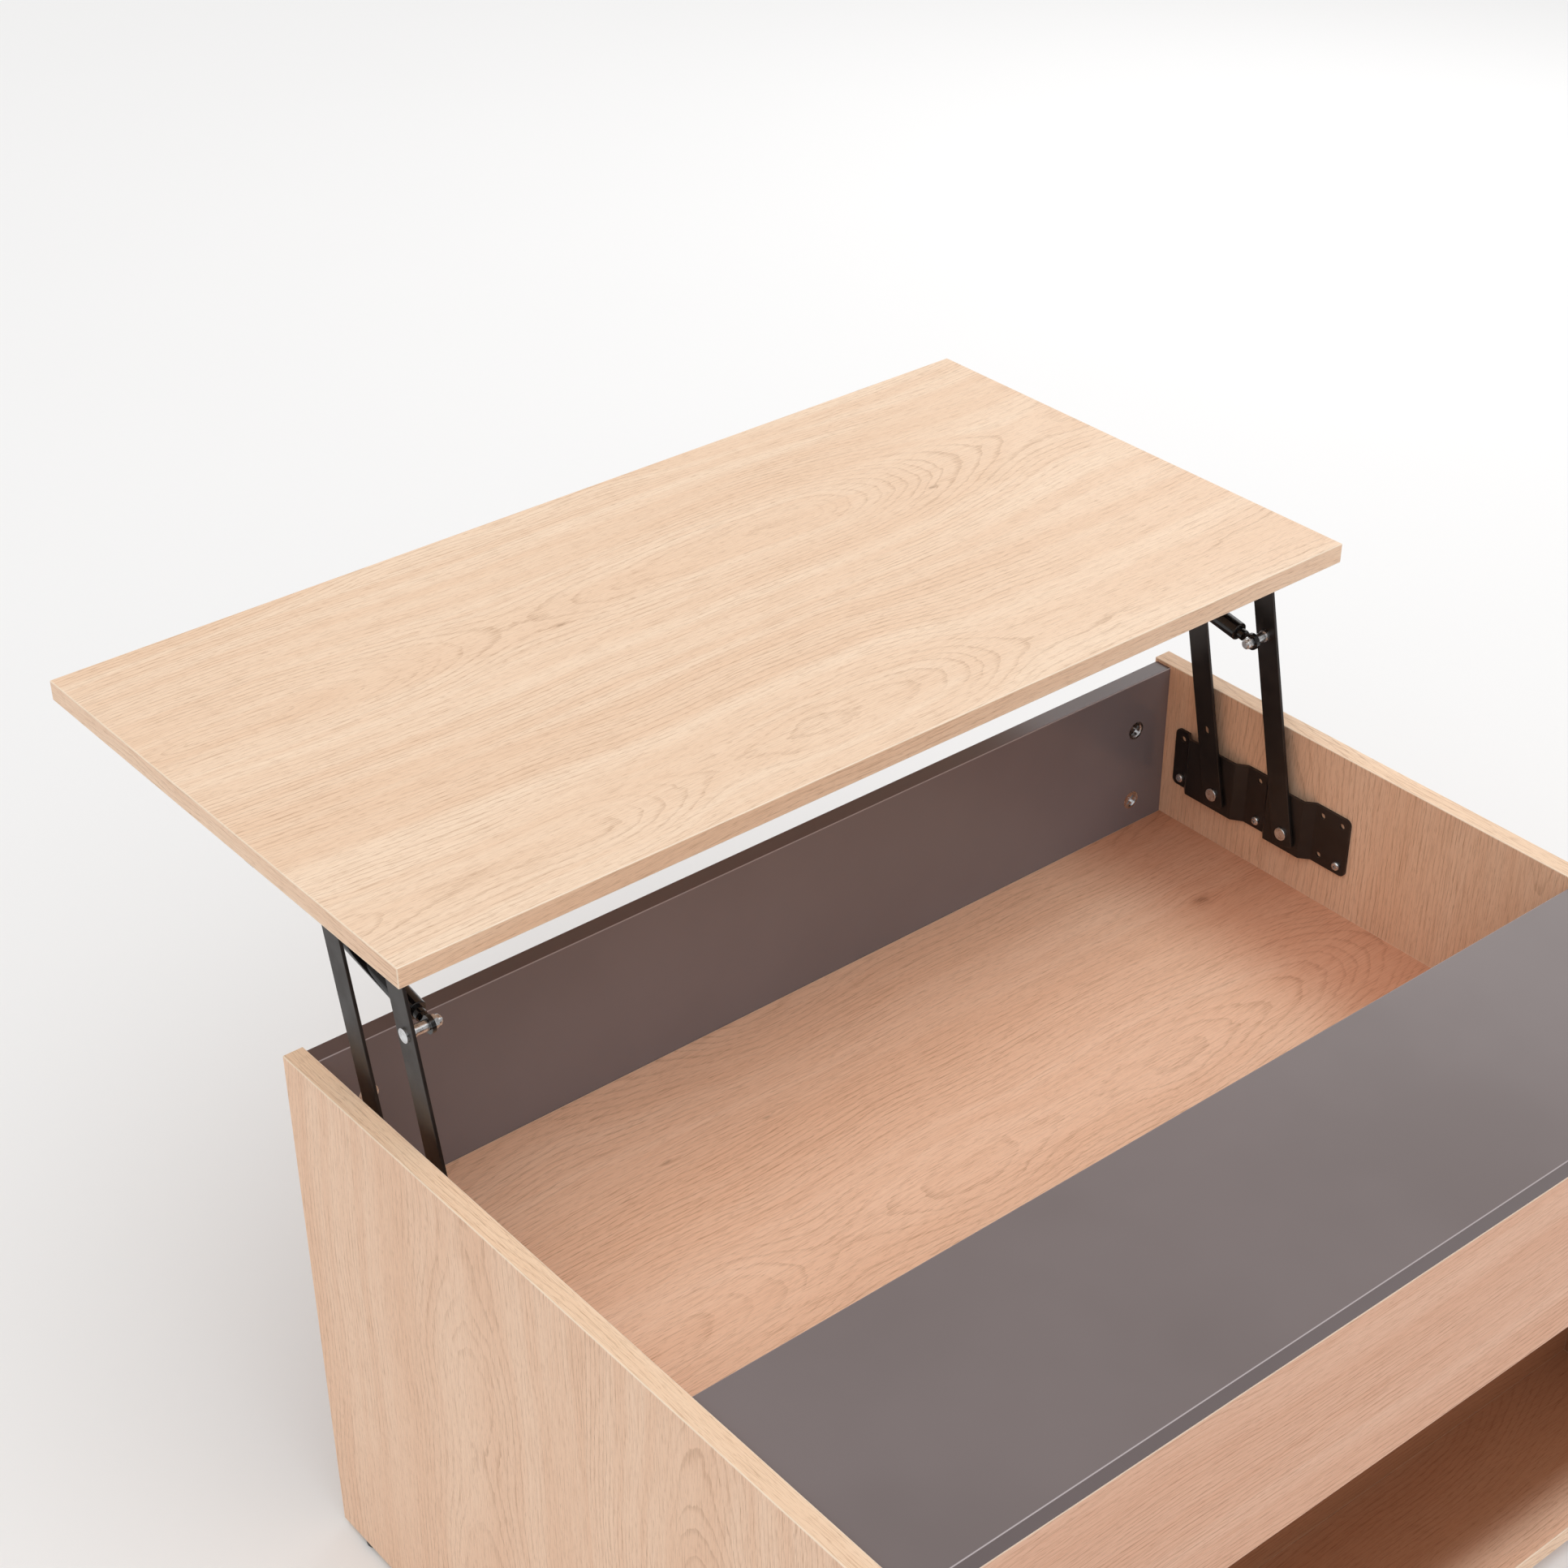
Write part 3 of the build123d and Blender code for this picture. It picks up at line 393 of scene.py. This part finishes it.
def ring_radius(tree, place, bent, figure):
    """The plank's number, the distance from its middle, and the distance from the log's pith."""
    along = place["Along"]
    from_edge = calc(tree, "ADD", bent, PLANK_HALF)
    plank = calc(tree, "FLOOR", calc(tree, "DIVIDE", from_edge, 2 * PLANK_HALF))
    from_middle = calc(tree, "PINGPONG", bent, PLANK_HALF)
    along_scale, plank_scale = PITH_SCALES
    down_plank = calc(tree, "MULTIPLY", along, along_scale)
    next_plank = calc(tree, "MULTIPLY", plank, plank_scale)
    varying = noise(tree, point(tree, down_plank, next_plank, place["Seed"]), 1.0, *PITH_DETAIL)
    cut = calc(tree, "MULTIPLY_ADD", varying, PITH_SWING, PITH_START)
    cut = calc(tree, "MULTIPLY_ADD", along, PITH_SLOPE, cut)
    cut = calc(tree, "MULTIPLY", cut, figure)
    beside = calc(tree, "MULTIPLY", from_middle, from_middle)
    radius = calc(tree, "SQRT", calc(tree, "MULTIPLY_ADD", cut, cut, beside))
    radius = swing(tree, spread(tree, place, bent, FINE_WOBBLE), FINE_WOBBLE_WIDTH, radius)
    radius = swing(tree, spread(tree, place, bent, COARSE_WOBBLE), COARSE_WOBBLE_WIDTH, radius)
    return plank, from_middle, radius


def ring_lines(tree, place, bent, plank, from_middle, radius, stripes):
    """Growth rings, with their own strengths in the figure and in the straight grain beside it."""
    uneven_place = point(tree, calc(tree, "MULTIPLY", radius, RING_UNEVEN_SCALE), plank, place["Seed"])
    uneven = calc(tree, "MULTIPLY", noise(tree, uneven_place, 1.0, 1.0), RING_UNEVENNESS)
    phase = calc(tree, "FRACT", calc(tree, "ADD", calc(tree, "DIVIDE", radius, RING_WIDTH), uneven))
    edge = calc(tree, "MULTIPLY", remap(tree, phase, *RING_DARKENS), remap(tree, phase, *RING_ENDS))
    slanted = calc(tree, "DIVIDE", from_middle, calc(tree, "MAXIMUM", radius, LEAST_RADIUS))
    strong = choose(tree, remap(tree, slanted, *SLANTED_CUT), FIGURE_STRENGTH, stripes)
    patchy = remap(tree, spread(tree, place, bent, RING_PATCHES), *PATCHY_RINGS)
    return calc(tree, "MULTIPLY", edge, calc(tree, "MULTIPLY", strong, patchy))


def oak_surface(tree, place, bent, radius, line):
    """Colour, roughness and height: short dark pores along the rings, over fibres and wide bands."""
    fibre = spread(tree, place, bent, FIBRES)
    thread = spread(tree, place, bent, THREADS)
    long_pores = spread(tree, place, bent, LONG_PORES)
    long_pores = calc(tree, "MULTIPLY_ADD", line, LONG_PORES_ON_RINGS, long_pores)
    long_pores = remap(tree, long_pores, *LONG_PORE_RANGE)
    short_pores = spread(tree, place, bent, SHORT_PORES)
    short_pores = calc(tree, "MULTIPLY_ADD", line, SHORT_PORES_ON_RINGS, short_pores)
    short_pores = remap(tree, short_pores, *SHORT_PORE_RANGE)
    radius_scale, along_scale = BAND_SCALES
    across_rings = calc(tree, "MULTIPLY", radius, radius_scale)
    along_grain = calc(tree, "MULTIPLY", place["Along"], along_scale)
    band = noise(tree, point(tree, across_rings, along_grain, place["Seed"]))
    cloud = remap(tree, spread(tree, place, bent, WARM_CLOUDS), *CLOUD_RANGE)

    tone = calc(tree, "MULTIPLY", remap(tree, fibre, *NOISE_SPAN, kind="LINEAR"), FIBRE_TONE)
    tone = calc(tree, "MULTIPLY_ADD", remap(tree, thread, *NOISE_SPAN, kind="LINEAR"), THREAD_TONE, tone)
    tone = calc(tree, "MULTIPLY_ADD", remap(tree, band, *BAND_RANGE), BAND_TONE, tone)
    colour = blend_colours(tree, tone, OAK_LIGHT, OAK_MIDDLE)
    colour = blend_colours(tree, cloud, colour, OAK_WARM)
    colour = blend_colours(tree, calc(tree, "MULTIPLY", line, RING_SHARE), colour, OAK_DARK)
    colour = blend_colours(tree, calc(tree, "MULTIPLY", long_pores, LONG_PORE_SHARE), colour, OAK_PORE)
    colour = blend_colours(tree, calc(tree, "MULTIPLY", short_pores, SHORT_PORE_SHARE), colour, OAK_PORE)

    rough = calc(tree, "MULTIPLY_ADD", fibre, FIBRE_ROUGHNESS, OAK_ROUGHNESS)
    rough = calc(tree, "MULTIPLY_ADD", long_pores, PORE_ROUGHNESS, rough)
    height = calc(tree, "SUBTRACT", calc(tree, "MULTIPLY", thread, THREAD_HEIGHT), long_pores)
    return colour, rough, height


def in_knot(tree, along, across, knot, growth=1.0):
    """How deep a place lies within a knot, or one grown by a factor: 1 at its middle, fading outwards."""
    u = calc(tree, "DIVIDE", calc(tree, "SUBTRACT", along, knot.along), knot.length * growth)
    v = calc(tree, "DIVIDE", calc(tree, "SUBTRACT", across, knot.across), knot.width * growth)
    squared = calc(tree, "ADD", calc(tree, "MULTIPLY", u, u), calc(tree, "MULTIPLY", v, v))
    return calc(tree, "EXPONENT", calc(tree, "MULTIPLY", squared, -1.0))


def knot_swirl(tree, along, across, knots, on_face):
    """How far the knots push the grain aside on the board's wide faces."""
    swirl = 0.0
    for knot in knots:
        reach = in_knot(tree, along, across, knot, KNOT_REACH)
        beside = calc(tree, "SUBTRACT", across, knot.across)
        push = calc(tree, "MULTIPLY", calc(tree, "MULTIPLY", reach, beside), KNOT_PUSH)
        swirl = calc(tree, "MULTIPLY_ADD", push, on_face, swirl)
    return swirl


def knot_colour(tree, colour, core, torn):
    """The colour with one knot in it: a dark rim round a darker heart, with torn fibres."""
    core = calc(tree, "MULTIPLY", core, calc(tree, "MULTIPLY_ADD", torn, *KNOT_TEARS))
    colour = blend_colours(tree, remap(tree, core, *KNOT_RIM), colour, OAK_DARK)
    return blend_colours(tree, remap(tree, core, *KNOT_MIDDLE), colour, KNOT_HEART)


def niche_shade_share(tree, place):
    """The share of painted shade in the niche under the fascia: 0 at its mouth and outside it, 1 further in.
    """
    deep = remap(tree, place["Y"], *NICHE_MOUTH)
    beside = calc(tree, "ABSOLUTE", place["X"])
    limits = (
        ("LESS_THAN", place["Y"], NICHE_BACK),
        ("LESS_THAN", place["Z"], NICHE_TOP),
        ("GREATER_THAN", place["Z"], NICHE_FLOOR),
        ("LESS_THAN", beside, NICHE_HALF),
    )
    for operation, value, limit in limits:
        deep = calc(tree, "MULTIPLY", deep, calc(tree, operation, value, limit))
    return deep


def oak_board(
    decor, node, grain, face, seed, shift,
    figure=1.0, knots=(), painted_light_tint=WHITE, banding=BANDING_PAINTED_SHADE, shaded_end=False,
):
    """Oak decor for one board, whose grain runs along one axis and whose wide faces look along another."""
    cross = next(axis for axis in "XYZ" if axis not in (grain, face))
    material, tree, shader = new_material(f"oak_{node}")
    position, normal = place_in_object(tree)
    place = axes_of(tree, position)
    on_face = looks_along(tree, normal, face)
    on_end = looks_along(tree, normal, grain)
    along = choose(tree, on_end, place[grain], place[cross])
    on_banding = calc(tree, "ADD", place[face], BANDING_SHIFT)
    across = choose(tree, on_face, on_banding, calc(tree, "ADD", place[cross], shift))
    inputs = {
        "Along": along,
        "Across": across,
        "Seed": seed,
        "Figure": figure,
        "Swirl": knot_swirl(tree, place[grain], place[cross], knots, on_face),
        "Stripes": choose(tree, on_face, BANDING_STRIPES, FACE_STRIPES),
    }
    colour, rough, height = add(tree, "ShaderNodeGroup", inputs, node_tree=decor).outputs

    for knot in knots:
        core = calc(tree, "MULTIPLY", in_knot(tree, place[grain], place[cross], knot), on_face)
        torn = grain_noise(tree, along, across, seed, TORN_FIBRES)
        colour = knot_colour(tree, colour, core, torn)
    # Painted light and shade: one tint on the banding and one on the wide faces multiply the board's colour
    board_painted_light = blend_colours(tree, on_face, banding, painted_light_tint)
    colour = blend_colours(tree, 1.0, colour, board_painted_light, "MULTIPLY")
    # Painted shade, deeper towards the back of the niche under the fascia
    colour = blend_colours(tree, niche_shade_share(tree, place), colour, NICHE_SHADE, "MULTIPLY")
    # Painted shade on the compartment floor's right end
    if shaded_end:
        end_shade_share = remap(tree, place["X"], *SHADED_END)
        colour = blend_colours(tree, end_shade_share, colour, SHADED_END_TINT, "MULTIPLY")
    # Paler arrises: wear, and a painted highlight along the rounded edges
    wear_and_highlight = calc(tree, "MULTIPLY", arris_share(tree, place, node, ARRIS_WEAR_AND_HIGHLIGHT), ARRIS_SHARE)
    give_all(tree, shader, {
        "Base Color": blend_colours(tree, wear_and_highlight, colour, OAK_WEAR_AND_HIGHLIGHT),
        "Roughness": rough,
        "Specular IOR Level": OAK_SPECULAR,
        "Normal": bump(tree, height, *OAK_BUMP),
    })
    return material


def grey_board(node, face, seed, painted_light_tint=WHITE):
    """Satin grey-taupe laminate, softly clouded, with painted shade on its banding and a thin pale arris of
    wear and painted highlight.
    """
    material, tree, shader = new_material(f"grey_{node}")
    position, normal = place_in_object(tree)
    place = axes_of(tree, position)
    moved = {0: position, 1: (seed, seed, seed)}
    here = add(tree, "ShaderNodeVectorMath", moved, operation="ADD").outputs[0]
    cloud = remap(tree, noise(tree, here, *GREY_CLOUD), *GREY_CLOUD_RANGE)
    haze = calc(tree, "MULTIPLY", noise(tree, here, *GREY_HAZE), GREY_HAZE_SHARE)
    smear = noise(tree, here, *GREY_SMEAR)
    tone = calc(tree, "MULTIPLY_ADD", cloud, GREY_CLOUD_SHARE, haze)
    # Painted light and shade: darker banding and, on the front panel, lighter wide faces
    board_painted_light = blend_colours(tree, looks_along(tree, normal, face), GREY_BANDING_PAINTED_SHADE, painted_light_tint)
    colour = blend_colours(tree, tone, GREY_DARK, GREY_LIGHT)
    colour = blend_colours(tree, 1.0, colour, board_painted_light, "MULTIPLY")
    # Pale arris: wear, and a painted highlight along the rounded edges
    wear_and_highlight = arris_share(tree, place, node, GREY_ARRIS)
    give_all(tree, shader, {
        "Base Color": blend_colours(tree, wear_and_highlight, colour, GREY_WEAR_AND_HIGHLIGHT),
        "Roughness": remap(tree, smear, *NOISE_SPAN, *GREY_ROUGHNESS),
        "Specular IOR Level": GREY_SPECULAR,
    })
    return material


# Metals and plastics

def edge_share(tree, radius):
    """1 where a surface turns within radius, from the angle between its rounded and its own normal."""
    rounded = add(tree, "ShaderNodeBevel", {"Radius": radius}, samples=EDGE_SAMPLES).outputs[0]
    own = tree.nodes.new("ShaderNodeNewGeometry").outputs["Normal"]
    dot = add(tree, "ShaderNodeVectorMath", {0: rounded, 1: own}, operation="DOT_PRODUCT").outputs["Value"]
    return remap(tree, dot, *EDGE_TURN)


def black_powder():
    """Satin black powder coat, brown on the bent sheet's edges: wear and painted highlight."""
    material, tree, shader = new_material("black_powder_coat")
    position, _normal = place_in_object(tree)
    fine = noise(tree, position, *POWDER_FINE)
    coarse = noise(tree, position, *POWDER_COARSE)
    # Brown edges: wear, and a painted highlight along the bent sheet's edges
    edge_wear_and_highlight = calc(tree, "MULTIPLY", edge_share(tree, POWDER_ARRIS), remap(tree, coarse, *POWDER_WEAR_AND_HIGHLIGHT_PATCHES))
    edge_wear_and_highlight = calc(tree, "MULTIPLY", edge_wear_and_highlight, POWDER_WEAR_AND_HIGHLIGHT_SHARE)
    colour = blend_colours(tree, remap(tree, coarse, *NOISE_SPAN), POWDER_DARK, POWDER_LIGHT)
    give_all(tree, shader, {
        "Base Color": blend_colours(tree, edge_wear_and_highlight, colour, POWDER_WEAR_AND_HIGHLIGHT),
        "Roughness": remap(tree, coarse, *NOISE_SPAN, *POWDER_ROUGHNESS),
        "Specular IOR Level": POWDER_SPECULAR,
        "Specular Tint": POWDER_SHEEN,
        "Normal": bump(tree, fine, *POWDER_BUMP),
    })
    return material


def gloss_black():
    """Glossy black lacquer on the gas struts, faintly dusty."""
    material, tree, shader = new_material("gloss_black_lacquer")
    position, _normal = place_in_object(tree)
    dust = noise(tree, position, *DUST_SPECKS)
    film = noise(tree, position, *LACQUER_FILM)
    give_all(tree, shader, {
        "Base Color": blend_colours(tree, remap(tree, dust, *DUST_RANGE), LACQUER_BLACK, LACQUER_DUST),
        "Roughness": remap(tree, film, *NOISE_SPAN, *LACQUER_ROUGHNESS),
        "Normal": bump(tree, film, *LACQUER_BUMP),
    })
    return material


def metal(name, colours, roughness, mottle_scale, scratch_scale):
    """Bare or plated metal: mottled tone, fine scratches drawn out along Y, and brighter edges."""
    material, tree, shader = new_material(name)
    position, _normal = place_in_object(tree)
    place = axes_of(tree, position)
    patches = noise(tree, position, mottle_scale, *METAL_MOTTLE)
    drawn_out = [
        calc(tree, "MULTIPLY", place[axis], scratch_scale * share)
        for axis, share in zip("XYZ", SCRATCH_STRETCH)
    ]
    lines = noise(tree, point(tree, *drawn_out), 1.0, *METAL_SCRATCHES)
    colour = blend_colours(tree, remap(tree, patches, *NOISE_SPAN), *colours)
    edge = calc(tree, "MULTIPLY", edge_share(tree, METAL_EDGE_WIDTH), METAL_EDGE_SHARE)
    give_all(tree, shader, {
        "Base Color": blend_colours(tree, edge, colour, METAL_EDGE),
        "Metallic": 1.0,
        "Roughness": remap(tree, patches, *NOISE_SPAN, *roughness),
        "Normal": bump(tree, lines, *SCRATCH_BUMP),
    })
    return material


def plastic(name, colours, roughness):
    """Moulded plastic with a faint grain."""
    material, tree, shader = new_material(name)
    position, _normal = place_in_object(tree)
    grain = noise(tree, position, *PLASTIC_GRAIN)
    rough_range = (roughness - PLASTIC_ROUGHNESS_SWING, roughness + PLASTIC_ROUGHNESS_SWING)
    give_all(tree, shader, {
        "Base Color": blend_colours(tree, noise(tree, position, *PLASTIC_CLOUD), *colours),
        "Roughness": remap(tree, grain, *NOISE_SPAN, *rough_range),
        "Normal": bump(tree, grain, *PLASTIC_BUMP),
    })
    return material


def beech():
    """The dowels' plain beech, with short fibres along X."""
    material, tree, shader = new_material("beech")
    position, _normal = place_in_object(tree)
    place = axes_of(tree, position)
    across = calc(tree, "ADD", place["Y"], place["Z"])
    fibre = grain_noise(tree, place["X"], across, BEECH_SEED, BEECH_FIBRES)
    give_all(tree, shader, {
        "Base Color": blend_colours(tree, fibre, BEECH_LIGHT, BEECH_DARK),
        "Roughness": remap(tree, fibre, *NOISE_SPAN, *BEECH_ROUGHNESS),
        "Normal": bump(tree, fibre, *BEECH_BUMP),
    })
    return material


# What each node is made of

def board_materials():
    """Every board's material by node, from its grain axis, face axis, seed, shift and what it has besides."""
    decor = oak_decor()
    # Painted shade on the upright boards, the fascia and the inner boards
    upright = {"painted_light_tint": UPRIGHT_PAINTED_SHADE, "banding": UPRIGHT_BANDING_UNSHADED}
    deep = {"painted_light_tint": DEEP_PAINTED_SHADE}
    floor = {"figure": 1.15, "knots": FLOOR_KNOTS, "painted_light_tint": DEEP_PAINTED_SHADE, "shaded_end": True}
    oak_boards = (
        ("lift_top_board", "X", "Z", 1.0, -0.05, {"knots": TOP_KNOTS}),
        ("compartment_floor", "X", "Z", 5.3, 0.09, floor),
        ("bottom_panel", "X", "Z", 8.1, 0.03, deep),
        ("rear_rail", "X", "Y", 11.7, -0.20, {"figure": 0.8, "painted_light_tint": FASCIA_PAINTED_SHADE}),
        ("niche_back_panel", "X", "Y", 14.2, 0.05, deep),
        ("left_side_panel", "Z", "X", 17.9, 0.04, upright),
        ("right_side_panel", "Z", "X", 21.4, -0.02, {"figure": 0.8, **upright}),
    )
    boards = {
        node: oak_board(decor, node, grain, face, seed, shift, **besides)
        for node, grain, face, seed, shift, besides in oak_boards
    }
    # The front panel lightened and cooled by painted light
    boards["front_panel"] = grey_board("front_panel", "Y", 2.0, FRONT_PAINTED_LIGHT)
    boards["fixed_top_panel"] = grey_board("fixed_top_panel", "Z", 7.0)
    return boards


def slot_materials():
    """The finish of every node that isn't a board, by the record's material slot."""
    return {
        "zinc": metal("zinc_plate", ZINC, (0.22, 0.40), 260.0, 2600.0),
        "polished_rod": metal("polished_rod", CHROME, (0.06, 0.14), 120.0, 3500.0),
        "black_powder": black_powder(),
        "gloss_black": gloss_black(),
        "beech": beech(),
        "nylon": plastic("nylon", NYLON, 0.45),
        "glide_plastic": plastic("glide_plastic", GLIDE_BLACK, 0.5),
    }


def finish_nodes():
    """Each node in its own material."""
    boards = board_materials()
    slots = slot_materials()
    slot_of = {part["node"]: part["material_slot"] for part in frame["record"]["subparts"]}
    for name, piece in frame["nodes"].items():
        material = boards.get(name) or slots[slot_of[name]]
        piece.data.materials.clear()
        piece.data.materials.append(material)


# Studio

def make_floor():
    bpy.ops.mesh.primitive_plane_add(size=FLOOR_SIZE)
    floor = bpy.context.object
    floor.name = "studio_floor"
    material, tree, shader = new_material("studio_floor")
    position, _normal = place_in_object(tree)
    cloud = noise(tree, position, FLOOR_CLOUD_SCALE)
    give_all(tree, shader, {
        "Base Color": blend_colours(tree, cloud, FLOOR_COLOUR, FLOOR_PALER),
        "Roughness": FLOOR_ROUGHNESS,
        "Specular IOR Level": FLOOR_SPECULAR,
    })
    floor.data.materials.append(material)


def make_world():
    world = bpy.data.worlds.new("studio")
    bpy.context.scene.world = world
    world.use_nodes = True
    background = world.node_tree.nodes["Background"]
    background.inputs["Color"].default_value = WORLD_COLOUR
    background.inputs["Strength"].default_value = WORLD_STRENGTH


def add_lamp(name, kind, towards_lamp, **settings):
    """A lamp that shines against the direction that leads towards it."""
    data = bpy.data.lights.new(name, kind)
    for key, value in settings.items():
        setattr(data, key, value)
    lamp = bpy.data.objects.new(name, data)
    bpy.context.scene.collection.objects.link(lamp)
    lamp.rotation_euler = towards_lamp.to_track_quat("Z", "Y").to_euler()
    return lamp


def make_lights():
    """A broad light like a large soft box far above, and a gleam from beyond the table's right end."""
    add_lamp("overhead", "SUN", SUN_FROM, energy=SUN_STRENGTH, angle=SUN_SPREAD, color=SUN_COLOUR)
    gleam = add_lamp("gleam", "AREA", GLEAM_PLACE - GLEAM_AIM, size=GLEAM_SIZE, energy=GLEAM_ENERGY)
    gleam.location = GLEAM_PLACE


def make_camera():
    level = Vector((sin(CAMERA_AZIMUTH), cos(CAMERA_AZIMUTH), 0.0))
    forward = level * cos(CAMERA_ELEVATION) - Vector((0, 0, sin(CAMERA_ELEVATION)))
    right = forward.cross(Vector((0, 0, 1))).normalized()
    up = right.cross(forward)
    turned_right = right * cos(CAMERA_ROLL) + up * sin(CAMERA_ROLL)
    turned_up = turned_right.cross(forward)
    data = bpy.data.cameras.new("camera")
    data.sensor_width = CAMERA_SENSOR
    data.lens = CAMERA_LENS
    data.shift_x, data.shift_y = CAMERA_SHIFT
    data.clip_start = CAMERA_CLIP
    camera = bpy.data.objects.new("camera", data)
    bpy.context.scene.collection.objects.link(camera)
    turn = Matrix((turned_right, turned_up, -forward)).transposed().to_4x4()
    camera.matrix_world = Matrix.Translation(CAMERA_PLACE) @ turn
    bpy.context.scene.camera = camera


bpy.context.scene.view_settings.view_transform = "Standard"
make_camera()
make_world()
make_floor()
make_lights()
finish_nodes()
